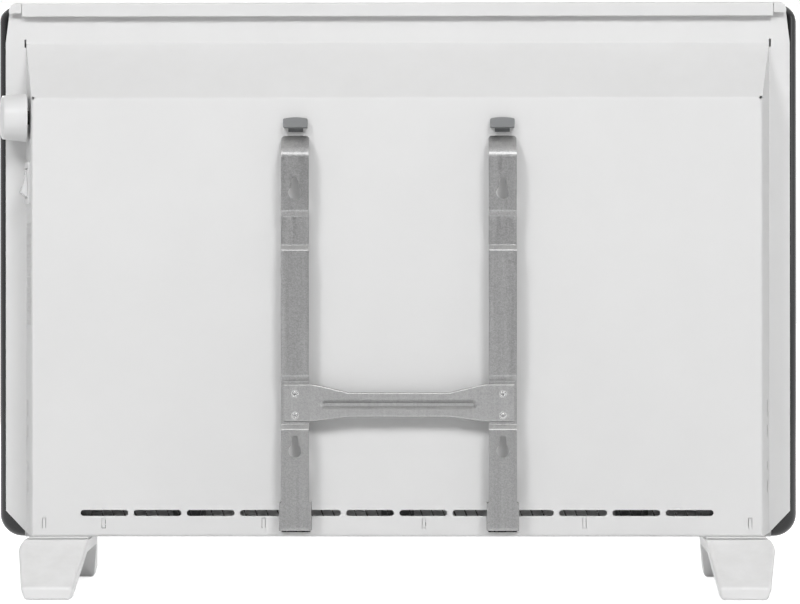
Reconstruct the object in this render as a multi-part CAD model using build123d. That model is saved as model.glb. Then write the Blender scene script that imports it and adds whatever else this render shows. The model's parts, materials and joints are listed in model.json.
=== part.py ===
from build123d import *
import os
from math import atan, cos, degrees, hypot, radians, sin, tan

# Wall panel convector heater on feet, with its wall bracket hooked on the back.
# Millimetres. +X is the control side, -Y the warm front, +Y the wall side, +Z up.
# The origin is on the floor, under the middle of the heater and of its feet.

# ---------------------------------------------------------------- front panel
panel_width = 591.0          # over the two edge trims
panel_height = 394.0
panel_lift = 36.5            # lower edge above the floor
panel_front_y = -41.0        # outer face of the warm front
panel_sheet = 1.0
panel_top_radius = 12.0      # corners of the whole front, seen from the front
panel_low_radius = 17.0
return_depth = 43.0          # side returns, from the front face to the casing flange
return_low_cut = 26.0        # the returns start this far above the lower edge
top_hem_reach = 50.0         # top flange, from the front face back to the hem
top_hem_height = 10.0
hem_ear_length = 9.6         # lower, rounded ear at each end of the top hem
hem_ear_height = 7.6
hem_ear_radius = 6.0
hem_ear_seam = 0.5           # slit between the hem and each ear
low_lip_reach = 34.0         # bottom flange, from the front face back to the lip
low_lip_height = 24.0

# ---------------------------------------------------------------- edge trims
trim_width = 19.5
trim_depth = 33.0
trim_wall = 1.6
trim_front_round = 5.0
trim_rear_round = 8.0

# ---------------------------------------------------------------- outlet grille
window_width = 480.0
window_height = 60.0
window_low = 315.5           # above the panel's lower edge
window_radius = 4.0
grille_lap = 3.0
grille_lap_sheet = 1.2
grille_depth = 14.0
grille_wall = 1.6
slat_count = 7
slat_thickness = 1.2
slat_rise = 6.0              # front edge above rear edge
rib_count = 5
rib_thickness = 1.6
rib_depth = 4.0

# ---------------------------------------------------------------- rear casing
casing_back_y = 45.0         # outer face of the flat back
casing_depth = 42.0          # from the flat back to the flange
casing_back_width = 528.8
casing_flare = 12.4          # degrees, side walls lean outward to the front
casing_rise = 4.0            # bottom wall above the panel's lower edge
fold_height = 317.5          # fold line above the casing's bottom
slope_rise = 43.0            # height gained by the sloped top over the depth
casing_sheet = 1.0
casing_outer_bend = 2.0
casing_inner_bend = 1.0
flange_width = 15.2
flange_low_cut = 16.0        # height of the cut lower corners
flange_top_taper = 3.4
fold_relief_radius = 1.1
corner_relief_width = 1.4
corner_relief_height = 6.0

# openings in the casing
slot_count = 12
slot_pitch = 38.5
slot_length = 34.6
slot_height = 4.4
slot_rise = 17.1             # slot row above the casing's bottom
floor_slot_count = 9
floor_slot_width = 6.0
tab_width = 2.1
tab_height = 7.6
tab_slit = 0.4
tab_rise = 9.8
tab_pitch = 116.0
tab_count = 4
tab_shift = 38.3             # the middle of the four inner tabs, off centre
end_tab_x = 255.5
side_slit_depth = 6.0
side_slit_width_at = 32.0    # distance of the side slits from the flat back
side_slit_rises = (92.0, 75.0, 50.0, 34.5)
side_slit_lengths = (13.0, 10.0, 7.0, 9.5)
perforation_diameter = 4.0
perforation_pitch = 7.9
perforation_rows = 10
perforation_columns = 4
perforation_rise = 190.5     # middle of the perforated field above the bottom

# ---------------------------------------------------------------- controls
knob_drop = 12.9             # knob axis below the casing's fold
knob_base_diameter = 35.2
knob_end_diameter = 31.6
knob_length = 17.5
knob_gap = 2.6               # between the side wall and the knob
knob_wall = 2.0
knob_round = 2.2
hub_diameter = 10.0
shaft_diameter = 6.0
shaft_flat = 1.0
shaft_engagement = 12.0      # length of shaft inside the knob's hub
shaft_root = 8.0             # length of shaft inside the thermostat
collar_diameter = 10.0
collar_stand = 1.8
thermostat_depth = 32.0
thermostat_height = 33.0
thermostat_thickness = 16.0
thermostat_drop = 4.0
switch_drop = 47.9           # switch's middle below the knob axis
bezel_length = 31.4
bezel_width = 25.4
bezel_thickness = 2.0
bezel_round = 2.0
switch_body_length = 28.0
switch_body_width = 22.0
switch_body_depth = 24.0
switch_well_length = 22.0
switch_well_width = 18.4
switch_well_depth = 11.0
rocker_width = 17.8
rocker_radius = 10.65        # of the rocker's ends, about its pivot
rocker_edge_angle = 51.6     # degrees from the neutral axis to the raised edges
rocker_tilt = 14.0           # degrees from neutral to either position
rocker_dish = 0.5            # hollow of the rocker's face at its middle
rocker_pivot_depth = 4.0     # below the bezel's face
rocker_pin_diameter = 3.0
rocker_pin_length = 1.2

# ---------------------------------------------------------------- air duct
duct_low_x = -235.0
duct_high_x = 188.0
duct_sheet = 0.8
duct_floor = 62.0            # lower edge of the end plates above the floor
duct_low_edge = 66.0         # lower edge of the duct sheets above the floor
duct_back_gap = 8.0          # rear sheet to the casing's inner face
duct_front_gap = 7.0         # front sheet to the panel's inner face
duct_front_top = 342.0
end_flange_width = 12.0
element_y = 2.0
element_z = 114.0
element_core_diameter = 14.0
element_arm_length = 26.0
element_arm_thickness = 3.0
element_fin_length = 13.0
element_fin_thickness = 1.6
element_fin_count = 3
element_pin_diameter = 8.0
bushing_flange_diameter = 24.0
bushing_flange = 2.0
bushing_body_diameter = 18.0
bushing_length = 6.0
guard_sheet = 0.8
guard_half_length = 231.0
guard_leg_y = 38.0           # inner guard behind the intake slots
guard_leg_height = 20.3
guard_rim = 1.5              # left whole round the guard's openings
guard_floor_front_y = 11.0
guard_slot_pitch = 8.0
guard_bar = 1.0
guard_lean = 6.5             # sideways lean of the slanted bars
guard_floor_slot_pitch = 11.0
guard_floor_slot_width = 6.5

# ---------------------------------------------------------------- wiring side
terminal_length = 28.0
terminal_height = 18.0
terminal_depth = 13.0
terminal_z = 84.0
terminal_y = 22.0
terminal_ways = 3
cutout_diameter = 16.0
cutout_height = 9.0
cutout_y = 10.0
cutout_z = 318.0
inlet_x = 208.0
inlet_y = 16.0
inlet_bore_diameter = 8.4
inlet_body_diameter = 13.4
inlet_flange_diameter = 18.0
inlet_flange = 1.0
inlet_nut = 5.0
wire_diameter = 2.6

# ---------------------------------------------------------------- wall bracket
bracket_spacing = 149.5      # between the strips' centres
bracket_shift = -1.8         # hangs a little off the casing's centre
bracket_sheet = 1.5
strip_width = 20.1
strip_tab_width = 9.6        # narrowed hooks that enter the casing
wall_stand = 16.0            # wall face of the pads behind the casing
strip_recess = 3.0           # set-back of the stretches between the pads
strip_top_z = 330.3
strip_shoulder_radius = 2.5
strip_low_z = 45.7
upper_pad_low_z = 275.7
middle_pad_high_z = 247.7
middle_pad_low_z = 157.1
low_pad_high_z = 118.6
joggle = 3.6                 # height over which the strip steps in or out
upper_bend = 10.0            # outer radius of the strip's big upper bend
hook_drop = 2.0              # of the hook slots below the strips' lower ends
hook_reach = 4.0             # of the lower hook behind the casing's outer face
hook_lip_height = 6.0
upper_hook_reach = 6.0
strip_flange_height = 20.0
keyhole_high_z = 289.0
keyhole_low_z = 103.2
keyhole_radius = 4.7
keyhole_slot_width = 4.8
keyhole_neck_angle = 40.0    # where the pear's flanks leave the round entry
keyhole_neck_rise = 6.4      # where they reach the slot's width
keyhole_slot_rise = 8.6
crossbar_z = 136.4
crossbar_end_height = 27.3
crossbar_end_rise = 1.4      # the end plates sit this much higher than the bead
crossbar_end_width = 21.1
crossbar_end_shift = 2.4     # of the end plates from the strips toward the middle
crossbar_mid_height = 17.8
crossbar_taper_length = 26.0
crossbar_flange = 5.0
bead_length = 113.0
bead_width = 7.6
bead_depth = 2.4
bead_slant = 48.0            # degrees, lean of the bead's walls
rivet_spacing = 15.5
rivet_head_diameter = 5.8
rivet_head_height = 1.3
rivet_shank_diameter = 3.2
rivet_bore_diameter = 1.7

# ---------------------------------------------------------------- latches
latch_cap_width = 17.6
latch_cap_height = 7.6
latch_cap_depth = 8.0
latch_cap_low_z = 336.0
latch_cap_arch = 1.0
latch_cap_corner = 0.8
latch_neck_width = 10.0
latch_slot_show = 2.7        # the latch's slot shows this far below the cap
latch_neck_height = 2.2
latch_plate_width = 15.0
latch_plate_height = 13.0
latch_plate_thickness = 2.0
latch_travel = 5.0

# ---------------------------------------------------------------- feet
foot_length = 214.0
foot_outer_x = 275.4
foot_top_width = 54.5
foot_sole_outer_x = 262.2
foot_sole_width = 33.0
foot_front_taper = 5.0       # narrower by this at the front end, on the inner side
foot_shoulder_radius = 8.5
foot_sole_length = 18.0
foot_toe_height = 9.0
foot_wall = 2.6
foot_sole = 3.0
foot_rib = 2.0
foot_edge_radius = 2.5
foot_sole_radius = 3.0
foot_groove_drop = 0.9       # shadow line under the seat
foot_groove_height = 1.2
foot_groove_depth = 3.0
foot_arch_height = 29.0
foot_arch_length = 112.0

# ---------------------------------------------------------------- fasteners
screw_diameter = 3.8
screw_hole_diameter = 4.3
screw_head_diameter = 7.4
screw_head_height = 2.4
screw_reach = 6.0
foot_screw_x = 246.0
foot_screw_ys = (31.0, 13.0)
link_width = 24.0
link_height = 15.0
link_xs = (-173.0, 0.0, 154.0)
link_back_y = 9.7
link_screw_y = 6.0

# ---------------------------------------------------------------- clearances
seat_gap = 0.3               # between pieces that lie against each other
slide_gap = 0.4              # at each side of a sliding piece
running_gap = 0.06           # round a turning shaft or pin
bend_radius = 1.0

# ---------------------------------------------------------------- worked out
panel_half = panel_width / 2
trim_x = panel_half - trim_width
panel_inner_y = panel_front_y + panel_sheet
panel_top = panel_lift + panel_height
panel_top_inner = panel_top - panel_sheet
flange_y = casing_back_y - casing_depth
flange_front_y = flange_y - casing_sheet
casing_inner_y = casing_back_y - casing_sheet
casing_low = panel_lift + casing_rise
casing_floor = casing_low + casing_sheet
fold_z = casing_low + fold_height
slope = slope_rise / casing_depth
slope_top_z = fold_z + slope_rise
casing_back_half = casing_back_width / 2
flare_run = tan(radians(casing_flare))
casing_front_half = casing_back_half + casing_depth * flare_run
flange_half = casing_front_half + flange_width
hem_y = panel_front_y + top_hem_reach
low_lip_y = panel_front_y + low_lip_reach
window_z = panel_lift + window_low + window_height / 2
wall_length = casing_depth / cos(radians(casing_flare))
bezel_face = bezel_thickness
pivot_height = bezel_face - rocker_pivot_depth
knob_z = fold_z - knob_drop
switch_z = knob_z - switch_drop
pad_y = casing_back_y + wall_stand
strip_xs = (bracket_shift - bracket_spacing / 2, bracket_shift + bracket_spacing / 2)
crossbar_reach = (bracket_spacing + crossbar_end_width) / 2 - crossbar_end_shift
recess_y = pad_y - strip_recess
foot_top = casing_low
latch_slot_top = latch_cap_low_z + latch_neck_height + latch_travel + slide_gap
latch_slot_low = latch_cap_low_z - latch_slot_show
upper_hook_slot_top = strip_top_z + slide_gap
upper_hook_slot_low = strip_top_z - bracket_sheet - slide_gap - seat_gap


# ---------------------------------------------------------------- helpers
def block(x_low, x_high, y_low, y_high, z_low, z_high):
    """A plain rectangular block between two corners."""
    size = (x_high - x_low, y_high - y_low, z_high - z_low)
    middle = ((x_low + x_high) / 2, (y_low + y_high) / 2, (z_low + z_high) / 2)
    return Pos(*middle) * Box(*size)


def across_depth(face, y_low, y_high):
    """A sketch drawn in X and Z, made solid between two depths."""
    return extrude(Plane.XZ.offset(-y_high) * face, amount=y_high - y_low)


def across_width(face, x_low, x_high):
    """A sketch drawn in Y and Z, made solid between two widths."""
    return extrude(Plane.YZ.offset(x_low) * face, amount=x_high - x_low)


def across_height(face, z_low, z_high):
    """A sketch drawn in X and Y, made solid between two heights."""
    return extrude(Plane.XY.offset(z_low) * face, amount=z_high - z_low)


def outline(*points):
    """A flat face through straight runs between points."""
    return make_face(Polyline(*points, close=True))


def mitred(points, distance):
    """The path moved to its left by a distance, with mitred corners."""
    moved = []
    for index, (across, up) in enumerate(points):
        before = points[max(index - 1, 0)]
        after = points[min(index + 1, len(points) - 1)]
        normals = []
        for start, end in ((before, (across, up)), ((across, up), after)):
            length = hypot(end[0] - start[0], end[1] - start[1])
            if length > 0:
                normals.append(((start[1] - end[1]) / length, (end[0] - start[0]) / length))
        first, last = normals[0], normals[-1]
        share = distance / (1 + first[0] * last[0] + first[1] * last[1])
        moved.append((across + share * (first[0] + last[0]), up + share * (first[1] + last[1])))
    return moved


def folded_sheet(points, thickness, bends=()):
    """Section of a folded sheet: one face on the points, the other to their left.

    Each bend has the usual inner radius, unless bends names one by its number.
    """
    far_points = mitred(points, thickness)
    near_radii = []
    far_radii = []
    for number, (before, here, after) in enumerate(zip(points, points[1:], points[2:])):
        radius = dict(bends).get(number, bend_radius)
        outside = radius + abs(thickness)
        turn = (here[0] - before[0]) * (after[1] - here[1])
        turn -= (here[1] - before[1]) * (after[0] - here[0])
        far_is_inside = (turn > 0) == (thickness > 0)
        near_radii.append(outside if far_is_inside else radius)
        far_radii.append(radius if far_is_inside else outside)
    near = FilletPolyline(*points, radius=near_radii)
    far = FilletPolyline(*far_points, radius=far_radii)
    ends = [Line(points[0], far_points[0]).edge(), Line(points[-1], far_points[-1]).edge()]
    return make_face(near.edges() + far.edges() + ends)


def side_plane(height, from_back):
    """Frame on the control side's wall: x to the back, y up, z outward."""
    lean = radians(casing_flare)
    origin = (
        casing_back_half + from_back * sin(lean),
        casing_back_y - from_back * cos(lean),
        height,
    )
    return Plane(origin=origin, x_dir=(-sin(lean), cos(lean), 0), z_dir=(cos(lean), sin(lean), 0))


def on_side(part, height, from_back=wall_length / 2):
    """A part drawn about its own axis, set on the control side's wall."""
    return side_plane(height, from_back).location * part


def both_sides(part):
    """A part and its mirror image on the other side of the heater."""
    return part + mirror(part, about=Plane.YZ)


# ---------------------------------------------------------------- rear casing
def casing_section(y, inset):
    """The casing's outline at one depth, drawn in by an inset on every wall."""
    forward = casing_back_y - y
    half = casing_back_half + forward * flare_run - inset / cos(radians(casing_flare))
    top = fold_z + forward * slope - inset * hypot(1, slope)
    low = casing_low + inset
    return Plane.XZ.offset(-y) * outline((-half, low), (half, low), (half, top), (-half, top))


def casing_block(inset, y_front, y_back, bend):
    """Solid of the casing's form, with its bends round the flat back rounded."""
    form = loft([casing_section(y_front, inset), casing_section(y_back, inset)], ruled=True)
    back_face = form.faces().sort_by(Axis.Y)[-1]
    return fillet(back_face.edges(), bend)


def casing_flange():
    """Flange round the sides and the top, with cut lower corners."""
    top = panel_top_inner - seat_gap
    tip = flange_half - flange_top_taper
    side = [
        (casing_front_half, casing_low),
        (flange_half, casing_low + flange_low_cut),
        (flange_half, slope_top_z),
        (tip, top),
    ]
    face = outline(*side, *[(-x, z) for x, z in reversed(side)])
    return across_depth(face, flange_front_y, flange_y)


def back_slots():
    """Row of long intake slots above the bottom edge."""
    one = SlotOverall(slot_length, slot_height)
    first = -slot_pitch * (slot_count - 1) / 2
    row = [Pos(first + slot_pitch * n, casing_low + slot_rise) * one for n in range(slot_count)]
    return across_depth(Sketch() + row, casing_inner_y - 1, casing_back_y + 1)


def floor_slots():
    """Two rows of intake slots in the bottom wall, between the feet."""
    one = SlotOverall(slot_length, floor_slot_width)
    first = -slot_pitch * (floor_slot_count - 1) / 2
    rows = []
    for y in (flange_y + casing_depth * 0.42, flange_y + casing_depth * 0.72):
        rows += [Pos(first + slot_pitch * n, y) * one for n in range(floor_slot_count)]
    return across_height(Sketch() + rows, casing_low - 1, casing_floor + 1)


def lanced_tabs():
    """Slits on three sides of each small tab under the slots, some hinged above."""
    reach = tab_height + 2 * tab_slit
    tongue = Rectangle(tab_width, reach)
    hinged_below = Rectangle(tab_width + 2 * tab_slit, tab_height) - Pos(0, -2 * tab_slit) * tongue
    hinged_above = mirror(hinged_below, about=Plane.XZ)
    inner = [tab_shift + tab_pitch * (n - (tab_count - 1) / 2) for n in range(tab_count)]
    row = [Pos(x, casing_low + tab_rise) * hinged_below for x in (-end_tab_x, end_tab_x)]
    for number, x in enumerate(inner):
        tab = hinged_below if number == tab_count - 2 else hinged_above
        row.append(Pos(x, casing_low + tab_rise) * tab)
    return across_depth(Sketch() + row, casing_inner_y - 1, casing_back_y + 1)


def side_slits():
    """Short intake slits low in one side wall."""
    cutters = []
    for rise, length in zip(side_slit_rises, side_slit_lengths):
        slit = extrude(SlotOverall(length, side_slit_depth, rotation=90), amount=4, both=True)
        cutters.append(on_side(slit, casing_low + rise, side_slit_width_at))
    return Part() + cutters


def perforations():
    """Staggered field of round holes in the control side's wall."""
    hole = Cylinder(perforation_diameter / 2, 6)
    holes = []
    for row in range(2 * perforation_rows - 1):
        count = perforation_columns - row % 2
        up = perforation_pitch / 2 * (row - perforation_rows + 1)
        for column in range(count):
            holes.append(Pos(perforation_pitch * (column - (count - 1) / 2), up, 0) * hole)
    return on_side(Part() + holes, casing_low + perforation_rise)


def slot_pair(width, low, high):
    """The same opening in the flat back behind both strips."""
    slot = Rectangle(width + 2 * slide_gap, high - low)
    row = [Pos(x, (low + high) / 2) * slot for x in strip_xs]
    return across_depth(Sketch() + row, casing_inner_y - 1, casing_back_y + 1)


def latch_slots():
    """Openings for the upper hooks and, over a bridge of sheet, for the latch necks."""
    hooks = slot_pair(strip_tab_width, upper_hook_slot_low, upper_hook_slot_top)
    return hooks + slot_pair(latch_neck_width, latch_slot_low, latch_slot_top)


def hook_slots():
    """Openings for the lower hooks."""
    low = strip_low_z - hook_drop
    high = strip_low_z + hook_lip_height + bracket_sheet + slide_gap
    return slot_pair(strip_width, low, high)


def bottom_holes():
    """Holes in the bottom wall for the feet, the links and the cable inlet."""
    hole = Circle(screw_hole_diameter / 2)
    spots = [(side * foot_screw_x, y) for side in (-1, 1) for y in foot_screw_ys]
    spots += [(x, link_screw_y) for x in link_xs]
    holes = [Pos(*spot) * hole for spot in spots]
    holes.append(Pos(inlet_x, inlet_y) * Circle(inlet_body_diameter / 2 + seat_gap))
    return across_height(Sketch() + holes, casing_low - 1, casing_floor + 1)


def relief_cuts():
    """Small reliefs at the ends of the fold line and at the flange corners."""
    dot = Circle(fold_relief_radius)
    dots = Pos(casing_back_half - casing_outer_bend / 2, fold_z) * dot
    slit = Rectangle(corner_relief_width, corner_relief_height)
    slits = Pos(casing_front_half + corner_relief_width / 2, slope_top_z) * slit
    cut = across_depth(dots, casing_inner_y - 2, casing_back_y + 1)
    cut += across_depth(slits, flange_front_y - 1, flange_y + 1)
    return both_sides(cut)


def make_rear_casing():
    """Folded sheet casing: flat back, sloped top, flared sides and a flange."""
    outer = casing_block(0, flange_front_y, casing_back_y, casing_outer_bend)
    inner = casing_block(casing_sheet, flange_front_y - 1, casing_inner_y, casing_inner_bend)
    casing = outer + casing_flange() - inner
    casing -= back_slots() + lanced_tabs() + latch_slots() + hook_slots()
    casing -= floor_slots() + bottom_holes()
    casing -= both_sides(side_slits()) + relief_cuts()
    casing -= perforations()
    casing -= on_side(Cylinder(collar_diameter / 2 + seat_gap, 8), knob_z)
    window = (switch_body_width + 2 * seat_gap, switch_body_length + 2 * seat_gap)
    casing -= on_side(Box(*window, 8), switch_z)
    return casing


# ---------------------------------------------------------------- front panel
def front_outline():
    """Outline of the whole front, with two sizes of corner."""
    centre_z = panel_lift + panel_height / 2
    face = Pos(0, centre_z) * Rectangle(panel_width, panel_height)
    corners = face.vertices().group_by(Axis.Y)
    face = fillet(corners[-1], panel_top_radius)
    corners = face.vertices().group_by(Axis.Y)
    return fillet(corners[0], panel_low_radius)


def hem_ear():
    """Rounded ear beside the top hem, folded from the same flange."""
    start_y = panel_front_y + trim_depth + seat_gap
    section = folded_sheet(
        [(start_y, panel_top), (hem_y, panel_top), (hem_y, panel_top - hem_ear_height)],
        -panel_sheet,
    )
    reach = trim_x + hem_ear_length
    ear = across_width(section, trim_x + hem_ear_seam, reach)
    bridge_y = hem_y - panel_sheet - bend_radius
    ear += block(
        trim_x, trim_x + hem_ear_seam, start_y, bridge_y, panel_top_inner, panel_top
    )
    square = Pos(reach, panel_top) * Rectangle(2 * hem_ear_radius, 2 * hem_ear_radius)
    rounding = Pos(reach - hem_ear_radius, panel_top - hem_ear_radius) * Circle(hem_ear_radius)
    return ear - across_depth(square - rounding, start_y - 1, hem_y + 1)


def make_front_panel():
    """Folded front: flat face, side returns, hemmed top and lipped bottom."""
    section = folded_sheet(
        [
            (low_lip_y, panel_lift + low_lip_height),
            (low_lip_y, panel_lift),
            (panel_front_y, panel_lift),
            (panel_front_y, panel_top),
            (hem_y, panel_top),
            (hem_y, panel_top - top_hem_height),
        ],
        -panel_sheet,
    )
    panel = across_width(section, -trim_x, trim_x)
    low = panel_lift + return_low_cut
    back_edge = panel_front_y + return_depth
    side = block(trim_x - panel_sheet, trim_x, panel_inner_y, back_edge, low, panel_top_inner)
    panel += both_sides(side)
    panel += both_sides(hem_ear())
    opening = Pos(0, window_z) * RectangleRounded(window_width, window_height, window_radius)
    return panel - across_depth(opening, panel_front_y - 1, panel_inner_y + 1)


def trim_form(inset):
    """Solid of one edge trim, drawn in by an inset from its outer faces."""
    face = offset(front_outline(), -inset) if inset else front_outline()
    slab = across_depth(face, panel_front_y + inset, panel_front_y + trim_depth - inset)
    rims = slab.edges().group_by(Axis.Y)
    slab = fillet(rims[0], trim_front_round - inset)
    rims = slab.edges().group_by(Axis.Y)
    return fillet(rims[-1], trim_rear_round - inset)


def make_edge_trim():
    """Hollow nosing along one side of the front, round its corners."""
    keep = block(
        trim_x, panel_half + 1, panel_front_y - 1, panel_front_y + trim_depth + 1,
        panel_lift - 1, panel_top + 1,
    )
    trim = trim_form(0) & keep
    return trim - trim_form(trim_wall)


# ---------------------------------------------------------------- outlet grille
def make_outlet_grille():
    """Louvred insert in the front's window: frame, slanted slats and upright ribs."""
    inner_width = window_width - 2 * seat_gap
    inner_height = window_height - 2 * seat_gap
    radius = window_radius - seat_gap
    frame_face = RectangleRounded(inner_width, inner_height, radius)
    bore_size = (inner_width - 2 * grille_wall, inner_height - 2 * grille_wall)
    bore = RectangleRounded(*bore_size, radius - grille_wall)
    back = panel_front_y + grille_depth
    frame = across_depth(Pos(0, window_z) * (frame_face - bore), panel_front_y, back)
    lap_size = (window_width + 2 * grille_lap, window_height + 2 * grille_lap)
    lap = RectangleRounded(*lap_size, window_radius + grille_lap) - bore
    frame += across_depth(Pos(0, window_z) * lap, panel_front_y - grille_lap_sheet, panel_front_y)
    half = bore_size[0] / 2
    pitch = bore_size[1] / slat_count
    first = window_z - bore_size[1] / 2 + (pitch - slat_rise) / 2
    for number in range(slat_count):
        low = first + pitch * number
        section = outline(
            (back, low),
            (back, low + slat_thickness),
            (panel_front_y, low + slat_rise),
            (panel_front_y, low + slat_rise - slat_thickness),
        )
        frame += across_width(section, -half, half)
    for number in range(rib_count):
        x = bore_size[0] * ((number + 1) / (rib_count + 1) - 0.5)
        rib = (x - rib_thickness / 2, x + rib_thickness / 2)
        height = bore_size[1] / 2
        frame += block(*rib, back - rib_depth, back, window_z - height, window_z + height)
    return frame


# ---------------------------------------------------------------- air duct
def duct_end_plate(x_low, flange_side):
    """End plate of the air duct, with a flange against the casing's back."""
    front = panel_inner_y + seat_gap
    back = casing_inner_y
    behind_grille = panel_front_y + grille_depth + seat_gap
    before_flange = flange_front_y - seat_gap
    lower_slope = fold_z - casing_sheet * hypot(1, slope)
    section = outline(
        (front, duct_floor),
        (back - seat_gap, duct_floor),
        (back - seat_gap, lower_slope - 2 * casing_sheet),
        (flange_y, lower_slope - 2 * casing_sheet + slope * (back - seat_gap - flange_y)),
        (before_flange, lower_slope - 2 * casing_sheet + slope * (back - seat_gap - flange_y)),
        (before_flange, window_z + window_height / 2),
        (behind_grille, window_z + window_height / 2),
        (behind_grille, duct_front_top),
        (front, duct_front_top),
    )
    plate = across_width(section, x_low, x_low + duct_sheet)
    ends = (x_low - end_flange_width, x_low + duct_sheet)
    if flange_side > 0:
        ends = (x_low, x_low + duct_sheet + end_flange_width)
    top = lower_slope - 4 * casing_sheet
    plate += block(*ends, back - duct_sheet, back, duct_floor + 10, top)
    bore = Cylinder(bushing_body_diameter / 2 + seat_gap, 4 * duct_sheet, rotation=(0, 90, 0))
    return plate - Pos(x_low + duct_sheet / 2, element_y, element_z) * bore


def make_duct_rear_sheet():
    """Bent sheet between the element and the casing's back, following its slope."""
    y = casing_inner_y - duct_back_gap
    knee = fold_z - duct_back_gap * (hypot(1, slope) - slope) - 2 * casing_sheet
    lip = panel_front_y + grille_depth + 4 * seat_gap
    bend_y = flange_y - 2 * casing_sheet
    bend_z = knee + slope * (y - bend_y)
    top_z = window_z + window_height / 2 - grille_wall
    points = [(y, duct_low_edge), (y, knee), (bend_y, bend_z), (lip, top_z)]
    return across_width(folded_sheet(points, duct_sheet), duct_low_x, duct_high_x)


def make_duct_front_sheet():
    """Heat shield between the element and the warm front."""
    y = panel_inner_y + duct_front_gap
    front = panel_inner_y + 2 * seat_gap
    points = [(y, duct_low_edge), (y, duct_front_top - (y - front)), (front, duct_front_top)]
    return across_width(folded_sheet(points, -duct_sheet), duct_low_x, duct_high_x)


def element_section():
    """Cross of four finned arms round a tubular core."""
    face = Circle(element_core_diameter / 2)
    arm = Pos(element_arm_length / 2, 0) * Rectangle(element_arm_length, element_arm_thickness)
    step = (element_arm_length - element_core_diameter / 2) / element_fin_count
    for number in range(element_fin_count):
        reach = element_arm_length - element_fin_thickness / 2 - step * number
        fin = Rectangle(element_fin_thickness, element_fin_length * (1 - 0.22 * number))
        arm += Pos(reach, 0) * fin
    for quarter in range(4):
        face += Rot(0, 0, 45 + 90 * quarter) * arm
    return Pos(element_y, element_z) * face


def make_heating_element():
    """Cast X-shaped element with a pin at each end."""
    shoulder = bushing_flange + seat_gap
    element = across_width(element_section(), duct_low_x + shoulder, duct_high_x - shoulder)
    pin = Pos(element_y, element_z) * Circle(element_pin_diameter / 2)
    reach = bushing_length + 4
    return element + across_width(pin, duct_low_x - reach, duct_high_x + reach)


def bushing(inner_x, outward):
    """Ceramic bush in an end plate, its flange on the element's side."""
    radius = element_pin_diameter / 2 + 2 * running_gap
    flange_face = Pos(element_y, element_z) * Circle(bushing_flange_diameter / 2)
    body_face = Pos(element_y, element_z) * Circle(bushing_body_diameter / 2)
    bore = Pos(element_y, element_z) * Circle(radius)
    flange_ends = sorted((inner_x, inner_x - outward * bushing_flange))
    body_ends = sorted((inner_x, inner_x + outward * bushing_length))
    bush = across_width(flange_face, *flange_ends) + across_width(body_face, *body_ends)
    return bush - across_width(bore, flange_ends[0] - 20, body_ends[1] + 20)


def make_element_bushings():
    """The two bushes that carry the element."""
    return [bushing(duct_low_x, -1), bushing(duct_high_x, 1)]


def make_intake_guard():
    """Inner guard: an upright leg behind the slots and a floor over the bottom wall."""
    floor_z = casing_floor
    leg_top = floor_z + guard_leg_height
    back = guard_leg_y + guard_sheet
    length = guard_half_length
    guard = block(-length, length, guard_leg_y, back, floor_z, leg_top)
    end_x = duct_high_x - seat_gap
    floor = block(-length, end_x, guard_floor_front_y, back, floor_z, floor_z + guard_sheet)
    guard += floor
    margin = guard_rim
    rise = guard_leg_height - 2 * margin
    opening = (guard_slot_pitch - guard_bar) / 2
    cell = outline(
        (-opening - guard_lean / 2, 0),
        (opening - guard_lean / 2, 0),
        (opening + guard_lean / 2, rise),
        (-opening + guard_lean / 2, rise),
    )
    count = int(2 * (length - guard_slot_pitch) / guard_slot_pitch)
    first = -guard_slot_pitch * (count - 1) / 2
    cells = [Pos(first + guard_slot_pitch * n, floor_z + margin) * cell for n in range(count)]
    guard -= across_depth(Sketch() + cells, guard_leg_y - 1, back + 1)
    reach = guard_leg_y - guard_floor_front_y - 2 * margin
    slot = SlotOverall(reach, guard_floor_slot_width, rotation=90)
    middle = (guard_leg_y + guard_floor_front_y) / 2
    count = int((end_x + length - guard_floor_slot_pitch) / guard_floor_slot_pitch)
    first = (end_x - length) / 2 - guard_floor_slot_pitch * (count - 1) / 2
    slots = [Pos(first + guard_floor_slot_pitch * n, middle) * slot for n in range(count)]
    return guard - across_height(Sketch() + slots, floor_z - 1, floor_z + guard_sheet + 1)


def make_panel_links():
    """Small angles that join the casing's bottom wall to the front's lip."""
    links = []
    for x in link_xs:
        section = folded_sheet(
            [
                (low_lip_y, casing_floor + link_height),
                (low_lip_y, casing_floor),
                (link_back_y, casing_floor),
            ],
            panel_sheet,
        )
        link = across_width(section, x - link_width / 2, x + link_width / 2)
        hole = Pos(x, link_screw_y, casing_floor) * Cylinder(screw_hole_diameter / 2, 6)
        links.append(link - hole)
    return links


# ---------------------------------------------------------------- screws
def screw_up(x, y, head_top):
    """Pan-head screw driven upward, its head under the given height."""
    head_face = Circle(screw_head_diameter / 2)
    head = extrude(head_face, amount=-screw_head_height)
    head = fillet(head.edges().sort_by(Axis.Z)[0], screw_head_height * 0.4)
    head -= Pos(0, 0, -screw_head_height) * Box(screw_head_diameter * 0.62, 0.9, 1.4)
    head -= Pos(0, 0, -screw_head_height) * Box(0.9, screw_head_diameter * 0.62, 1.4)
    shank = extrude(Circle(screw_diameter / 2), amount=screw_reach)
    return Pos(x, y, head_top) * (head + shank)


def make_link_screws():
    """Screws that hold the casing's bottom wall to the links."""
    return [screw_up(x, link_screw_y, casing_low) for x in link_xs]


def make_foot_screws():
    """Screws that hold the feet to the casing's bottom wall."""
    head_top = foot_top - foot_wall
    return [screw_up(side * foot_screw_x, y, head_top) for side in (-1, 1) for y in foot_screw_ys]


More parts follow.
